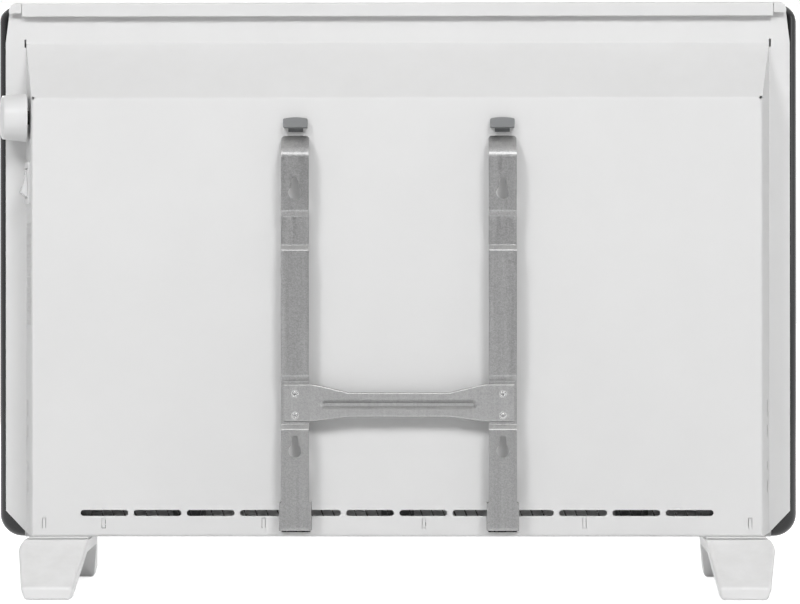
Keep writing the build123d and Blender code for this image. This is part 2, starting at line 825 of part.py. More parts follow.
# ---------------------------------------------------------------- controls
def make_thermostat_body():
    """Thermostat housing behind the side wall, with its threaded collar."""
    low = -casing_sheet - thermostat_thickness
    body = Box(thermostat_depth, thermostat_height, thermostat_thickness)
    body = fillet(body.edges().filter_by(Axis.Z), 2)
    body = Pos(0, -thermostat_drop, (low - casing_sheet) / 2) * body
    body += Pos(0, 0, (collar_stand - casing_sheet) / 2) * Cylinder(
        collar_diameter / 2, collar_stand + casing_sheet
    )
    for offset_x in (-9, 0, 9):
        blade = Pos(offset_x, -thermostat_drop - 6, low - 3) * Box(6.3, 0.8, 6)
        body += blade
    bore_length = collar_stand + casing_sheet + shaft_root + seat_gap
    bore = Cylinder(shaft_diameter / 2 + running_gap, bore_length + 1)
    body -= Pos(0, 0, collar_stand + 1 - (bore_length + 1) / 2) * bore
    return on_side(body, knob_z)


def make_thermostat_shaft():
    """Round shaft with a flat for the knob."""
    low = -casing_sheet - shaft_root
    high = knob_gap + knob_length - knob_wall - seat_gap
    shaft = Pos(0, 0, (low + high) / 2) * Cylinder(shaft_diameter / 2, high - low)
    flat_low = high - shaft_engagement
    flat = Box(shaft_diameter, shaft_flat * 2, high - flat_low + 1)
    shaft -= Pos(0, shaft_diameter / 2, (flat_low + high + 1) / 2) * flat
    return on_side(shaft, knob_z)


def make_thermostat_knob():
    """Tapered hollow knob with a hub for the shaft and an index groove."""
    middle = knob_gap + knob_length / 2
    outer = Cone(knob_base_diameter / 2, knob_end_diameter / 2, knob_length)
    outer = fillet(outer.edges().sort_by(Axis.Z)[-1], knob_round)
    knob = Pos(0, 0, middle) * outer
    hollow_length = knob_length - knob_wall
    hollow_radii = (knob_base_diameter / 2 - knob_wall, knob_end_diameter / 2 - knob_wall)
    knob -= Pos(0, 0, knob_gap + hollow_length / 2) * Cone(*hollow_radii, hollow_length)
    hub_low = knob_gap + knob_length - knob_wall - shaft_engagement
    hub_length = knob_gap + knob_length - knob_wall - hub_low
    hub = Pos(0, 0, hub_low + hub_length / 2) * Cylinder(hub_diameter / 2, hub_length)
    bore_radius = shaft_diameter / 2 + running_gap
    bore = Pos(0, 0, hub_low + hub_length / 2) * Cylinder(bore_radius, hub_length)
    flat = Box(shaft_diameter + 1, shaft_flat * 2, hub_length)
    bore -= Pos(0, shaft_diameter / 2 + running_gap, hub_low + hub_length / 2) * flat
    knob += hub
    knob -= bore
    groove = Box(1.2, knob_end_diameter * 0.36, 1.2)
    knob -= Pos(0, knob_end_diameter * 0.27, knob_gap + knob_length) * groove
    return on_side(knob, knob_z)


def make_switch_housing():
    """Snap-in rocker switch housing with bezel, well, pivot holes and terminals."""
    bezel_face = RectangleRounded(bezel_width, bezel_length, bezel_round)
    bezel = extrude(bezel_face, amount=bezel_thickness)
    bezel = chamfer(bezel.edges().group_by(Axis.Z)[-1], 0.6)
    body = Box(switch_body_width, switch_body_length, switch_body_depth)
    housing = bezel + Pos(0, 0, -switch_body_depth / 2) * body
    well = Box(switch_well_width, switch_well_length, switch_well_depth)
    housing -= Pos(0, 0, bezel_thickness - switch_well_depth / 2) * well
    pin_reach = rocker_width + 2 * rocker_pin_length + 2 * seat_gap
    pin_hole = Cylinder(rocker_pin_diameter / 2 + running_gap, pin_reach, rotation=(0, 90, 0))
    housing -= Pos(0, 0, pivot_height) * pin_hole
    for offset_y in (-8, 8):
        for offset_x in (-6, 6):
            blade = Box(0.8, 6.3, 7)
            housing += Pos(offset_x, offset_y, -switch_body_depth - 3.5) * blade
    return on_side(housing, switch_z)


def make_switch_rocker():
    """Rocker with a slightly hollow face, shown with its lower end out."""
    edge = radians(rocker_edge_angle)
    edge_point = (rocker_radius * sin(edge), rocker_radius * cos(edge))
    valley = edge_point[1] - rocker_dish
    skirt = radians(100)
    skirt_point = (rocker_radius * sin(skirt), rocker_radius * cos(skirt))
    middle = radians((rocker_edge_angle + 100) / 2)
    middle_point = (rocker_radius * sin(middle), rocker_radius * cos(middle))
    keel = -rocker_pin_diameter
    right = ThreePointArc(edge_point, middle_point, skirt_point)
    left = ThreePointArc(
        (-edge_point[0], edge_point[1]),
        (-middle_point[0], middle_point[1]),
        (-skirt_point[0], skirt_point[1]),
    )
    roof = Polyline((-edge_point[0], edge_point[1]), (0, valley), edge_point)
    base = Polyline(
        (-skirt_point[0], skirt_point[1]),
        (-skirt_point[0] / 2, keel),
        (skirt_point[0] / 2, keel),
        skirt_point,
    )
    section = make_face(right.edges() + left.edges() + roof.edges() + base.edges())
    rocker = across_width(section, -rocker_width / 2, rocker_width / 2)
    long_edges = rocker.edges().filter_by(Axis.X).sort_by(Axis.Z)[-2:]
    rocker = fillet(long_edges, 0.8)
    pin = Cylinder(
        rocker_pin_diameter / 2, rocker_width + 2 * rocker_pin_length, rotation=(0, 90, 0)
    )
    rocker = Rot(-rocker_tilt, 0, 0) * (rocker + pin)
    return on_side(Pos(0, 0, pivot_height) * rocker, switch_z)


def make_terminal_block():
    """Screw terminal block on the duct's end plate."""
    low_x = duct_high_x + duct_sheet
    high_x = low_x + terminal_depth
    ends_y = (terminal_y - terminal_length / 2, terminal_y + terminal_length / 2)
    ends_z = (terminal_z - terminal_height / 2, terminal_z + terminal_height / 2)
    body = block(low_x, high_x, *ends_y, *ends_z)
    body = fillet(body.edges().group_by(Axis.X)[-1], 1)
    pitch = terminal_length / terminal_ways
    for number in range(terminal_ways):
        y = ends_y[0] + pitch * (number + 0.5)
        well = Cylinder(pitch * 0.3, 7, rotation=(0, 90, 0))
        body -= Pos(high_x, y, terminal_z) * well
        port = Cylinder(pitch * 0.24, terminal_height + 2)
        body -= Pos(low_x + terminal_depth * 0.4, y, terminal_z) * port
    return body


def make_thermal_cutout():
    """Disc cut-out on the duct's end plate, with two blades."""
    low_x = duct_high_x + duct_sheet
    cap = Cylinder(cutout_diameter / 2, cutout_height, rotation=(0, 90, 0))
    cap = fillet(cap.edges().sort_by(Axis.X)[-1], 1)
    body = Pos(low_x + cutout_height / 2, cutout_y, cutout_z) * cap
    plate = block(
        low_x, low_x + 1, cutout_y - cutout_diameter * 0.75, cutout_y + cutout_diameter * 0.75,
        cutout_z - 4, cutout_z + 4,
    )
    body += plate
    for side in (-1, 1):
        y = cutout_y + side * 4.5
        high_x = low_x + cutout_height
        body += block(high_x, high_x + 7, y - 0.4, y + 0.4, cutout_z - 3, cutout_z + 3)
    return body


def make_cable_inlet():
    """Gland in the bottom wall for the mains lead."""
    below = casing_low - inlet_flange
    above = casing_floor + inlet_nut
    at = Pos(inlet_x, inlet_y)
    gland = across_height(at * Circle(inlet_flange_diameter / 2), below, casing_low)
    gland = fillet(gland.edges().sort_by(Axis.Z)[0], inlet_flange * 0.4)
    gland += across_height(at * Circle(inlet_body_diameter / 2), casing_low, above)
    nut = across_height(at * RegularPolygon(inlet_flange_diameter / 2, 6), casing_floor, above)
    gland += nut
    return gland - across_height(at * Circle(inlet_bore_diameter / 2), below - 1, above + 1)


# ---------------------------------------------------------------- wall bracket
def keyhole(z):
    """Pear-shaped keyhole: a round entry that narrows to a slot above it."""
    half = keyhole_slot_width / 2
    slot = SlotCenterToCenter(keyhole_slot_rise, keyhole_slot_width, rotation=90)
    angle = radians(keyhole_neck_angle)
    neck_x = keyhole_radius * sin(angle)
    neck_z = keyhole_radius * cos(angle)
    top = keyhole_neck_rise
    neck = outline((-neck_x, neck_z), (neck_x, neck_z), (half, top), (-half, top))
    pear = Circle(keyhole_radius) + neck
    return Pos(0, z) * (pear + Pos(0, keyhole_slot_rise / 2) * slot)


def strip_path():
    """Wall face of a bracket strip, from the upper hook down to the lower hook."""
    hook_y = casing_back_y - casing_sheet - upper_hook_reach
    slope_foot_y = casing_back_y + 3 * bracket_sheet
    slope_drop = pad_y - slope_foot_y
    tip_y = casing_back_y - hook_reach
    return [
        (hook_y, strip_top_z),
        (slope_foot_y, strip_top_z),
        (pad_y, strip_top_z - slope_drop),
        (pad_y, upper_pad_low_z),
        (recess_y, upper_pad_low_z - joggle),
        (recess_y, middle_pad_high_z + joggle),
        (pad_y, middle_pad_high_z),
        (pad_y, middle_pad_low_z),
        (recess_y, middle_pad_low_z - joggle),
        (recess_y, low_pad_high_z + joggle),
        (pad_y, low_pad_high_z),
        (pad_y, strip_low_z),
        (tip_y, strip_low_z),
        (tip_y, strip_low_z + hook_lip_height + bracket_sheet),
    ]


def make_bracket_strip(x):
    """One upright of the wall bracket, folded from strip, hooked at both ends."""
    big_bend = {1: upper_bend - bracket_sheet}
    section = folded_sheet(strip_path(), -bracket_sheet, big_bend)
    half = strip_width / 2
    strip = across_width(section, x - half, x + half)
    tab = strip_tab_width / 2
    neck_y = casing_back_y + bracket_sheet
    tab_low = strip_top_z - 2 * bracket_sheet
    for side in (-1, 1):
        ends = sorted((x + side * tab, x + side * (half + 1)))
        strip -= block(*ends, casing_back_y - 20, neck_y, tab_low, strip_top_z + 1)
    shoulder = Pos(x, 0) * shoulder_cutter()
    strip -= across_depth(shoulder, casing_back_y, pad_y + 1)
    holes = Pos(x, 0) * (keyhole(keyhole_high_z) + keyhole(keyhole_low_z))
    strip -= across_depth(holes, casing_back_y + bracket_sheet, pad_y + 1)
    for side in (-1, 1):
        edge = x + side * half
        ends = sorted((edge, edge + side * bracket_sheet))
        low = strip_low_z
        inner = casing_back_y + seat_gap
        strip += block(*ends, inner, pad_y, low, low + strip_flange_height)
    for offset_z in (-rivet_spacing / 2, rivet_spacing / 2):
        hole = Cylinder(rivet_shank_diameter / 2 + running_gap, 8, rotation=(90, 0, 0))
        strip -= Pos(x, recess_y, crossbar_z + offset_z) * hole
    return strip


def shoulder_cutter():
    """Rounds the strip's upper end, seen from the wall side."""
    half = strip_width / 2
    radius = strip_shoulder_radius
    square = Pos(0, strip_top_z) * Rectangle(4 * half, 2 * radius)
    keep = Pos(0, strip_top_z - radius) * RectangleRounded(2 * half, 2 * radius, radius * 0.98)
    low = Pos(0, strip_top_z - 2 * radius) * Rectangle(2 * half, 2 * radius)
    return square - keep - low


def crossbar_outline():
    """Web of the crossbar: tall ends, tapering to a slimmer middle."""
    reach = crossbar_reach
    inner = crossbar_reach - crossbar_end_width
    slim = inner - crossbar_taper_length
    low = crossbar_end_rise - crossbar_end_height / 2
    high = crossbar_end_rise + crossbar_end_height / 2
    half = crossbar_mid_height / 2
    right = [(slim, -half), (inner, low), (reach, low), (reach, high), (inner, high), (slim, half)]
    left = [(-x, z) for x, z in reversed(right)]
    face = outline(*right, *left)
    knees = [corner for corner in face.vertices() if abs(corner.X) < reach - bracket_sheet]
    face = fillet(knees, crossbar_taper_length * 0.45)
    return Pos(bracket_shift, crossbar_z) * face


def pressed_bead(grow, back):
    """Tapered slot form, pressed toward the heater from a face at the given depth."""
    face = SlotOverall(bead_length + 2 * grow, bead_width + 2 * grow)
    face = Plane.XZ.offset(-back) * Pos(bracket_shift, crossbar_z) * face
    return extrude(face, amount=bead_depth, taper=bead_slant)


def make_bracket_crossbar():
    """Tie bar riveted to both strips, with turned edges and a pressed bead."""
    front = recess_y
    back = recess_y + bracket_sheet
    bar = across_depth(crossbar_outline(), front, back)
    slim = crossbar_reach - crossbar_end_width - crossbar_taper_length
    half = crossbar_mid_height / 2
    ends = (bracket_shift - slim, bracket_shift + slim)
    for side in (-1, 1):
        edge = crossbar_z + side * half
        z_ends = sorted((edge, edge - side * bracket_sheet))
        bar += block(*ends, front - crossbar_flange, back, *z_ends)
    turned = bar.edges().filter_by(Axis.X)
    outer = [e for e in turned if abs(e.center().Y - back) < 0.01 and e.length > slim * 0.6]
    bar = fillet(outer, bracket_sheet * 0.9)
    bar += pressed_bead(seat_gap, front)
    bar -= pressed_bead(0, back)
    for x in strip_xs:
        for offset_z in (-rivet_spacing / 2, rivet_spacing / 2):
            hole = Cylinder(rivet_shank_diameter / 2 + running_gap, 8, rotation=(90, 0, 0))
            bar -= Pos(x, back, crossbar_z + offset_z) * hole
    return bar


def make_bracket_rivets():
    """Domed hollow rivets through the crossbar and the strips."""
    rivets = []
    back = recess_y + bracket_sheet
    head = extrude(Circle(rivet_head_diameter / 2), amount=rivet_head_height)
    head = fillet(head.edges().sort_by(Axis.Z)[-1], rivet_head_height * 0.8)
    length = 2 * bracket_sheet
    shank = Pos(0, 0, -length / 2) * Cylinder(rivet_shank_diameter / 2, length)
    tail = Pos(0, 0, -length - 0.8) * Cylinder(rivet_head_diameter * 0.4, 1.6)
    bore = Pos(0, 0, rivet_head_height) * Cylinder(rivet_bore_diameter / 2, 2 * length)
    rivet = Rot(-90, 0, 0) * (head + shank + tail - bore)
    for x in strip_xs:
        for offset_z in (-rivet_spacing / 2, rivet_spacing / 2):
            rivets.append(Pos(x, back, crossbar_z + offset_z) * rivet)
    return rivets


# ---------------------------------------------------------------- latches
def make_latch(x):
    """Plastic slide that traps the bracket's upper hook: cap, neck and inner plate."""
    half = latch_cap_width / 2
    low = latch_cap_low_z
    shoulder = low + latch_cap_height - latch_cap_arch
    roof = ThreePointArc((half, shoulder), (0, low + latch_cap_height), (-half, shoulder))
    sides = Polyline((-half, shoulder), (-half, low), (half, low), (half, shoulder))
    cap_face = make_face(roof.edges() + sides.edges())
    near = casing_back_y + seat_gap
    cap = across_depth(cap_face, near, near + latch_cap_depth)
    lower = cap.edges().filter_by(Axis.Y).group_by(Axis.Z)[0]
    cap = fillet(lower, latch_cap_corner)
    upper = cap.edges().filter_by(Axis.Y).group_by(Axis.Z)[-1]
    cap = fillet(upper, latch_cap_corner)
    cap = fillet(cap.edges().group_by(Axis.Y)[-1], latch_cap_corner * 0.9)
    neck_half = latch_neck_width / 2
    plate_back = casing_inner_y - seat_gap
    plate_front = plate_back - latch_plate_thickness
    neck_top = low + latch_neck_height
    neck_end = near + latch_cap_depth * 0.7
    neck = block(-neck_half, neck_half, plate_front, neck_end, low, neck_top)
    plate_low = strip_top_z + slide_gap
    plate_half = latch_plate_width / 2
    plate_top = plate_low + latch_plate_height
    plate = block(-plate_half, plate_half, plate_front, plate_back, plate_low, plate_top)
    return Pos(x, 0, 0) * (cap + neck + plate)


# ---------------------------------------------------------------- feet
def foot_side_outer():
    """Side view of a foot: a stepped seat on two splayed legs with an arch between."""
    reach = foot_length / 2
    sole = reach - foot_sole_length
    arch = foot_arch_length / 2 - foot_arch_height / 2
    step_y = low_lip_y + seat_gap
    return outline(
        (casing_back_y, foot_top),
        (reach, foot_toe_height),
        (reach - 2, 0),
        (sole, 0),
        (arch, foot_arch_height),
        (-arch, foot_arch_height),
        (-sole, 0),
        (-reach + 2, 0),
        (-reach, foot_toe_height),
        (panel_front_y, panel_lift),
        (step_y, panel_lift),
        (step_y, foot_top),
    )


def foot_side_space():
    """Side view of the space inside a foot, open at its two soles and over the arch."""
    wall = foot_wall
    reach = foot_length / 2
    space = offset(foot_side_outer(), -wall, kind=Kind.INTERSECTION)
    sole_low = reach - foot_sole_length + 2 * wall
    sole_high = reach - 2 * wall
    mouth = Rectangle(sole_high - sole_low, 3 * wall)
    for side in (-1, 1):
        space += Pos(side * (sole_low + sole_high) / 2, 0) * mouth
    arch = foot_arch_length / 2 - foot_arch_height / 2 - 2 * wall
    return space + Pos(0, foot_arch_height) * Rectangle(2 * arch, 3 * wall)


def foot_end_view(inset, taper):
    """Rear view of a foot: wide at the seat, narrow at the sole, one shoulder rounded."""
    outer_top = foot_outer_x - inset
    outer_low = foot_sole_outer_x - inset
    inner_top = foot_outer_x - foot_top_width + inset + taper
    inner_low = foot_sole_outer_x - foot_sole_width + inset + taper
    face = outline((inner_low, 0), (outer_low, 0), (outer_top, foot_top), (inner_top, foot_top))
    corners = face.vertices().sort_by(Axis.Y)
    face = fillet(corners[2:].sort_by(Axis.X)[-1], foot_shoulder_radius - inset)
    if inset:
        return face
    return fillet(face.vertices().sort_by(Axis.Y)[:2], foot_sole_radius)


def foot_form(side_view, inset):
    """The solid that fits a foot's side view, a little narrower toward its front end."""
    reach = foot_length / 2
    rear = Plane.XZ.offset(-reach) * foot_end_view(inset, 0)
    front = Plane.XZ.offset(reach) * foot_end_view(inset, foot_front_taper)
    return across_width(side_view, 0, foot_outer_x) & loft([rear, front], ruled=True)


def foot_groove():
    """Shadow line round a foot, a little under its seat."""
    high = foot_top - foot_groove_drop
    low = high - foot_groove_height
    reach = foot_length / 2
    depth = foot_groove_depth
    rise = (high + low) / 2
    lean_in = (foot_top_width - foot_sole_width) - (foot_outer_x - foot_sole_outer_x)
    inner = foot_outer_x - foot_top_width + lean_in * (1 - rise / foot_top)
    outer = foot_outer_x - foot_shoulder_radius * 0.2
    leg_run = (reach - casing_back_y) / (foot_top - foot_toe_height)
    back = casing_back_y + leg_run * (foot_top - rise)
    ring = block(0, foot_outer_x + 1, low_lip_y, reach, low, high)
    return ring - block(inner + depth, outer - depth, -reach, back - depth, low, high)


def foot_toe_edges(form):
    """The slanted edges of a foot's two legs and the edges of its toes."""
    reach = foot_length / 2 - foot_sole_radius
    edges = []
    for edge in form.edges():
        ends = (edge @ 0, edge @ 1)
        reaches_toe = max(abs(end.Y) for end in ends) > reach
        far = abs(edge.center().Y) > foot_length / 3
        climbs = abs(ends[0].Z - ends[1].Z) > foot_sole_radius
        along_toe = min(abs(end.Y) for end in ends) > reach and min(end.Z for end in ends) > foot_sole
        if reaches_toe and far and (climbs or along_toe):
            edges.append(edge)
    return edges


def make_foot(side):
    """Moulded two-legged foot, hollow from below, with screw holes and a cross rib."""
    space = foot_form(foot_side_space(), foot_wall)
    form = foot_form(foot_side_outer(), 0).solids()[0]
    form = fillet(foot_toe_edges(form), foot_edge_radius)
    foot = form - foot_groove() - space
    rib_low = foot_arch_height
    rib = block(0, foot_outer_x, -foot_rib / 2, foot_rib / 2, rib_low, foot_top - foot_wall)
    foot += rib & space
    hole = Circle(screw_hole_diameter / 2)
    holes = Sketch() + [Pos(foot_screw_x, y) * hole for y in foot_screw_ys]
    foot -= across_height(holes, foot_arch_height, foot_top + 1)
    if side < 0:
        foot = mirror(foot, about=Plane.YZ)
    return foot


# ---------------------------------------------------------------- assembly
def node_shapes():
    """Every piece of the heater by name."""
    trim = make_edge_trim()
    return {
        "rear_casing": make_rear_casing(),
        "front_panel": make_front_panel(),
        "edge_trim_control_side": trim,
        "edge_trim_far_side": mirror(trim, about=Plane.YZ),
        "outlet_grille": make_outlet_grille(),
        "duct_end_far_side": duct_end_plate(duct_low_x - duct_sheet, -1),
        "duct_end_control_side": duct_end_plate(duct_high_x, 1),
        "duct_rear_sheet": make_duct_rear_sheet(),
        "duct_front_sheet": make_duct_front_sheet(),
        "heating_element": make_heating_element(),
        "element_bushings": make_element_bushings(),
        "intake_guard": make_intake_guard(),
        "panel_links": make_panel_links(),
        "link_screws": make_link_screws(),
        "thermostat_body": make_thermostat_body(),
        "thermostat_shaft": make_thermostat_shaft(),
        "thermostat_knob": make_thermostat_knob(),
        "switch_housing": make_switch_housing(),
        "switch_rocker": make_switch_rocker(),
        "terminal_block": make_terminal_block(),
        "thermal_cutout": make_thermal_cutout(),
        "cable_inlet": make_cable_inlet(),
        "bracket_strip_control_side": make_bracket_strip(strip_xs[1]),
        "bracket_strip_far_side": make_bracket_strip(strip_xs[0]),
        "bracket_crossbar": make_bracket_crossbar(),
        "bracket_rivets": make_bracket_rivets(),
        "latch_control_side": make_latch(strip_xs[1]),
        "latch_far_side": make_latch(strip_xs[0]),
        "foot_control_side": make_foot(1),
        "foot_far_side": make_foot(-1),
        "foot_screws": make_foot_screws(),
    }


def write_parts():
    """Writes one file per piece."""
    os.makedirs("parts", exist_ok=True)
    for name, shape in node_shapes().items():
        solids = shape if isinstance(shape, list) else shape.solids()
        whole = solids[0] if len(solids) == 1 else Compound(children=list(solids))
        export_step(whole, f"parts/{name}.step")


write_parts()
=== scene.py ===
import json
from math import cos, pi, radians, sin

import bmesh
import bpy
from mathutils import Matrix, Vector


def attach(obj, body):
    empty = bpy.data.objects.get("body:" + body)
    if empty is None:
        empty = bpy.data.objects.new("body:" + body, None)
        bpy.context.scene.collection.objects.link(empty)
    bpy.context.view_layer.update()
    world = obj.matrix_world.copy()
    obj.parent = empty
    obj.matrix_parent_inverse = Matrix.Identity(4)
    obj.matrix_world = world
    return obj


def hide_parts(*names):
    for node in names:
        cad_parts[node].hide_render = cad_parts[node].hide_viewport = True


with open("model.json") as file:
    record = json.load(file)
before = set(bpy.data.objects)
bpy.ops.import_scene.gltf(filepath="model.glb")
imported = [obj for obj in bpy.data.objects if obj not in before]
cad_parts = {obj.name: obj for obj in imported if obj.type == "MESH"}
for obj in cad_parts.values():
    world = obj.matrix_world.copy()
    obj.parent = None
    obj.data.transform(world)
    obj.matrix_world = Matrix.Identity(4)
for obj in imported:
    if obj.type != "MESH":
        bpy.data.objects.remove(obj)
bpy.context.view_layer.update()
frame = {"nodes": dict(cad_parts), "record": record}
MM = 0.001

# depths of the finishes' relief, and how far the borders of zinc crystals wander, in metres
PEEL_DEPTH = 0.00008
MOULD_DEPTH = 0.00006
ZINC_DEPTH = 0.00005
PIT_DEPTH = 0.0001
CRYSTAL_SHIFT = 0.0012

# screws and rivets
ROUND_STEPS = 40
DOME_STEPS = 24
WIRE_STEPS = 18
SPIN_SEED = 7
WELD = 1e-6
SMOOTH_UP_TO = 32               # degrees between faces
SHANK_SHARE = 0.48              # of the head's radius
RECESS_SHARE = 1.15
RECESS_ARM_SHARE = 0.24         # of the recess's length
RIVET_HEIGHT = 1.3 * MM
RIVET_BORE = 0.85 * MM

# camera and studio
CAMERA_PLACE = (-29.34, 2338.43, 209.31)    # mm
CAMERA_YAW = -0.6712                        # degrees
CAMERA_PITCH = 0.0236
CAMERA_ROLL = -0.0356
CAMERA_LENS = 142.65
CAMERA_SENSOR = 36.0
FLOOR_REACH = 30.0
FLOOR_DROP = 0.0002
GLOW_NEAR = 0.72                # what the floor gives the camera beside the heater
GLOW_FAR = 1.0
GLOW_FROM = 0.4                 # distances from the heater between which it rises
GLOW_TO = 1.1
REAR_MIDDLE = (0.0, 0.05, 0.25)
FRONT_MIDDLE = (0.0, -0.05, 0.25)
SOFTBOXES = (
    # name, place, target, size, watts
    ("near_controls_softbox", (1.32, 2.64, 2.08), REAR_MIDDLE, (0.75, 0.9), 35.5),
    ("far_softbox", (-0.92, 2.74, 2.12), REAR_MIDDLE, (0.75, 0.9), 37.5),
    ("middle_softbox", (0.1, 2.5, 1.75), REAR_MIDDLE, (0.9, 0.6), 7.5),
    ("side_softbox", (-2.6, 0.9, 0.8), (0.0, 0.0, 0.25), (0.8, 1.2), 5.0),
    ("top_softbox", (0.0, 0.9, 2.1), (0.0, 0.0, 0.3), (1.6, 0.8), 2.0),
    ("front_softbox", (0.9, -2.8, 1.5), FRONT_MIDDLE, (1.2, 1.0), 42.0),
    ("front_fill_softbox", (-1.3, -2.5, 1.2), FRONT_MIDDLE, (1.0, 1.0), 22.0),
)


# ---------------------------------------------------------------- shader trees
def put(tree, kind, sockets=None, **settings):
    """Adds a node. A socket takes a number, a colour or another node's output."""
    node = tree.nodes.new(kind)
    for name, value in settings.items():
        setattr(node, name, value)
    for name, value in (sockets or {}).items():
        if isinstance(value, bpy.types.NodeSocket):
            tree.links.new(value, node.inputs[name])
        else:
            node.inputs[name].default_value = value
    return node


def blend_colours(tree, share, first, second):
    """Goes from the first colour to the second as the share rises."""
    mix = put(tree, "ShaderNodeMix", {0: share, 6: first, 7: second}, data_type="RGBA")
    return mix.outputs[2]


def spread(tree, value, low, high, from_low=0.0, from_high=1.0):
    """Stretches a value between two limits and holds it there."""
    sockets = {"Value": value, "From Min": from_low, "From Max": from_high}
    sockets.update({"To Min": low, "To Max": high})
    return put(tree, "ShaderNodeMapRange", sockets, clamp=True).outputs["Result"]


def times(tree, first, second):
    return put(tree, "ShaderNodeMath", {0: first, 1: second}, operation="MULTIPLY").outputs[0]


def plus(tree, first, second):
    return put(tree, "ShaderNodeMath", {0: first, 1: second}, operation="ADD").outputs[0]


def effect(name, inputs, outputs):
    """An empty node group with named inputs and outputs."""
    tree = bpy.data.node_groups.new(name, "ShaderNodeTree")
    for label, value in inputs.items():
        kind = "NodeSocketVector" if value is None else "NodeSocketFloat"
        socket = tree.interface.new_socket(label, in_out="INPUT", socket_type=kind)
        if value is not None:
            socket.default_value = value
    for label in outputs:
        tree.interface.new_socket(label, in_out="OUTPUT", socket_type="NodeSocketFloat")
    return tree, tree.nodes.new("NodeGroupInput").outputs, tree.nodes.new("NodeGroupOutput").inputs


def finish_effect(tree, ends, **values):
    """Links each value to the output of its name."""
    for label, value in values.items():
        tree.links.new(value, ends[label])
    return tree


def noise(tree, place, scale, detail=2.0, roughness=0.5):
    sockets = {"Vector": place, "Scale": scale, "Detail": detail, "Roughness": roughness}
    return put(tree, "ShaderNodeTexNoise", sockets).outputs[0]


def stretched(tree, place, scale):
    """The place with each direction scaled by itself."""
    sockets = {"Vector": place, "Scale": scale}
    return put(tree, "ShaderNodeMapping", sockets).outputs[0]


def coat_skin():
    """Orange peel of a baked powder coat, with slow clouds of tone."""
    tree, start, ends = effect(
        "coat_skin", {"Place": None, "Grain": 900.0}, ("Height", "Cloud", "Fine")
    )
    peel = noise(tree, start["Place"], start["Grain"], 2.0, 0.45)
    fine_scale = times(tree, start["Grain"], 3.1)
    fine = noise(tree, start["Place"], fine_scale, 1.0)
    height = plus(tree, times(tree, peel, 0.75), times(tree, fine, 0.25))
    cloud = noise(tree, start["Place"], 9.0, 4.0, 0.6)
    return finish_effect(tree, ends, Height=height, Cloud=cloud, Fine=fine)


def mould_skin():
    """Spark-eroded texture of moulded plastic, with faint flow clouds."""
    tree, start, ends = effect(
        "mould_skin", {"Place": None, "Grain": 1800.0}, ("Height", "Cloud")
    )
    cells = put(tree, "ShaderNodeTexVoronoi", {"Vector": start["Place"], "Scale": start["Grain"]})
    soft = noise(tree, start["Place"], times(tree, start["Grain"], 0.6), 3.0)
    height = plus(tree, times(tree, cells.outputs["Distance"], 0.5), times(tree, soft, 0.5))
    cloud = noise(tree, start["Place"], 24.0, 3.0)
    return finish_effect(tree, ends, Height=height, Cloud=cloud)


def zinc_skin():
    """Fine crystals of a galvanised sheet under its rolling lines."""
    tree, start, ends = effect(
        "zinc_skin", {"Place": None, "Crystal": 900.0}, ("Tone", "Roughness", "Height")
    )
    bent = noise(tree, start["Place"], start["Crystal"])
    sockets = {0: bent, 1: (CRYSTAL_SHIFT, CRYSTAL_SHIFT, CRYSTAL_SHIFT)}
    shift = put(tree, "ShaderNodeVectorMath", sockets, operation="MULTIPLY").outputs[0]
    sockets = {0: start["Place"], 1: shift}
    bent_place = put(tree, "ShaderNodeVectorMath", sockets, operation="ADD").outputs[0]
    cells = put(tree, "ShaderNodeTexVoronoi", {"Vector": bent_place, "Scale": start["Crystal"]})
    crystal = put(tree, "ShaderNodeSeparateColor", {"Color": cells.outputs["Color"]}).outputs[0]
    across = noise(tree, stretched(tree, start["Place"], (0.4, 1.0, 1.6)), 1500.0, 3.0, 0.6)
    along = noise(tree, stretched(tree, start["Place"], (1.0, 1.0, 0.02)), 420.0, 2.0, 0.5)
    speck = noise(tree, start["Place"], times(tree, start["Crystal"], 1.6), 1.0)
    grain = plus(tree, times(tree, across, 0.35), times(tree, along, 0.65))
    mixed = plus(tree, times(tree, crystal, 0.3), times(tree, grain, 0.5))
    tone = plus(tree, mixed, times(tree, speck, 0.2))
    rough = plus(tree, times(tree, crystal, 0.4), times(tree, along, 0.6))
    return finish_effect(tree, ends, Tone=tone, Roughness=rough, Height=grain)


def worn_edge():
    """Finds edges, as broken lines where handling has rubbed them."""
    tree, start, ends = effect("worn_edge", {"Place": None, "Width": 0.0006}, ("Mask",))
    round_over = put(tree, "ShaderNodeBevel", {"Radius": start["Width"]}, samples=6).outputs[0]
    face = put(tree, "ShaderNodeNewGeometry").outputs["True Normal"]
    meet = put(tree, "ShaderNodeVectorMath", {0: round_over, 1: face}, operation="DOT_PRODUCT")
    line = spread(tree, meet.outputs["Value"], 1.0, 0.0, 0.72, 0.97)
    broken = spread(tree, noise(tree, start["Place"], 260.0, 4.0, 0.65), 0.0, 1.0, 0.42, 0.66)
    return finish_effect(tree, ends, Mask=times(tree, line, broken))


def settled_dust():
    """Dust on what faces up, thicker in patches."""
    tree, start, ends = effect("settled_dust", {"Place": None, "Amount": 0.3}, ("Mask",))
    face = put(tree, "ShaderNodeNewGeometry").outputs["Normal"]
    up = put(tree, "ShaderNodeSeparateXYZ", {0: face}).outputs["Z"]
    facing = spread(tree, up, 0.0, 1.0, 0.25, 0.95)
    patches = spread(tree, noise(tree, start["Place"], 55.0, 5.0, 0.65), 0.2, 1.0, 0.35, 0.7)
    return finish_effect(tree, ends, Mask=times(tree, times(tree, facing, patches), start["Amount"]))


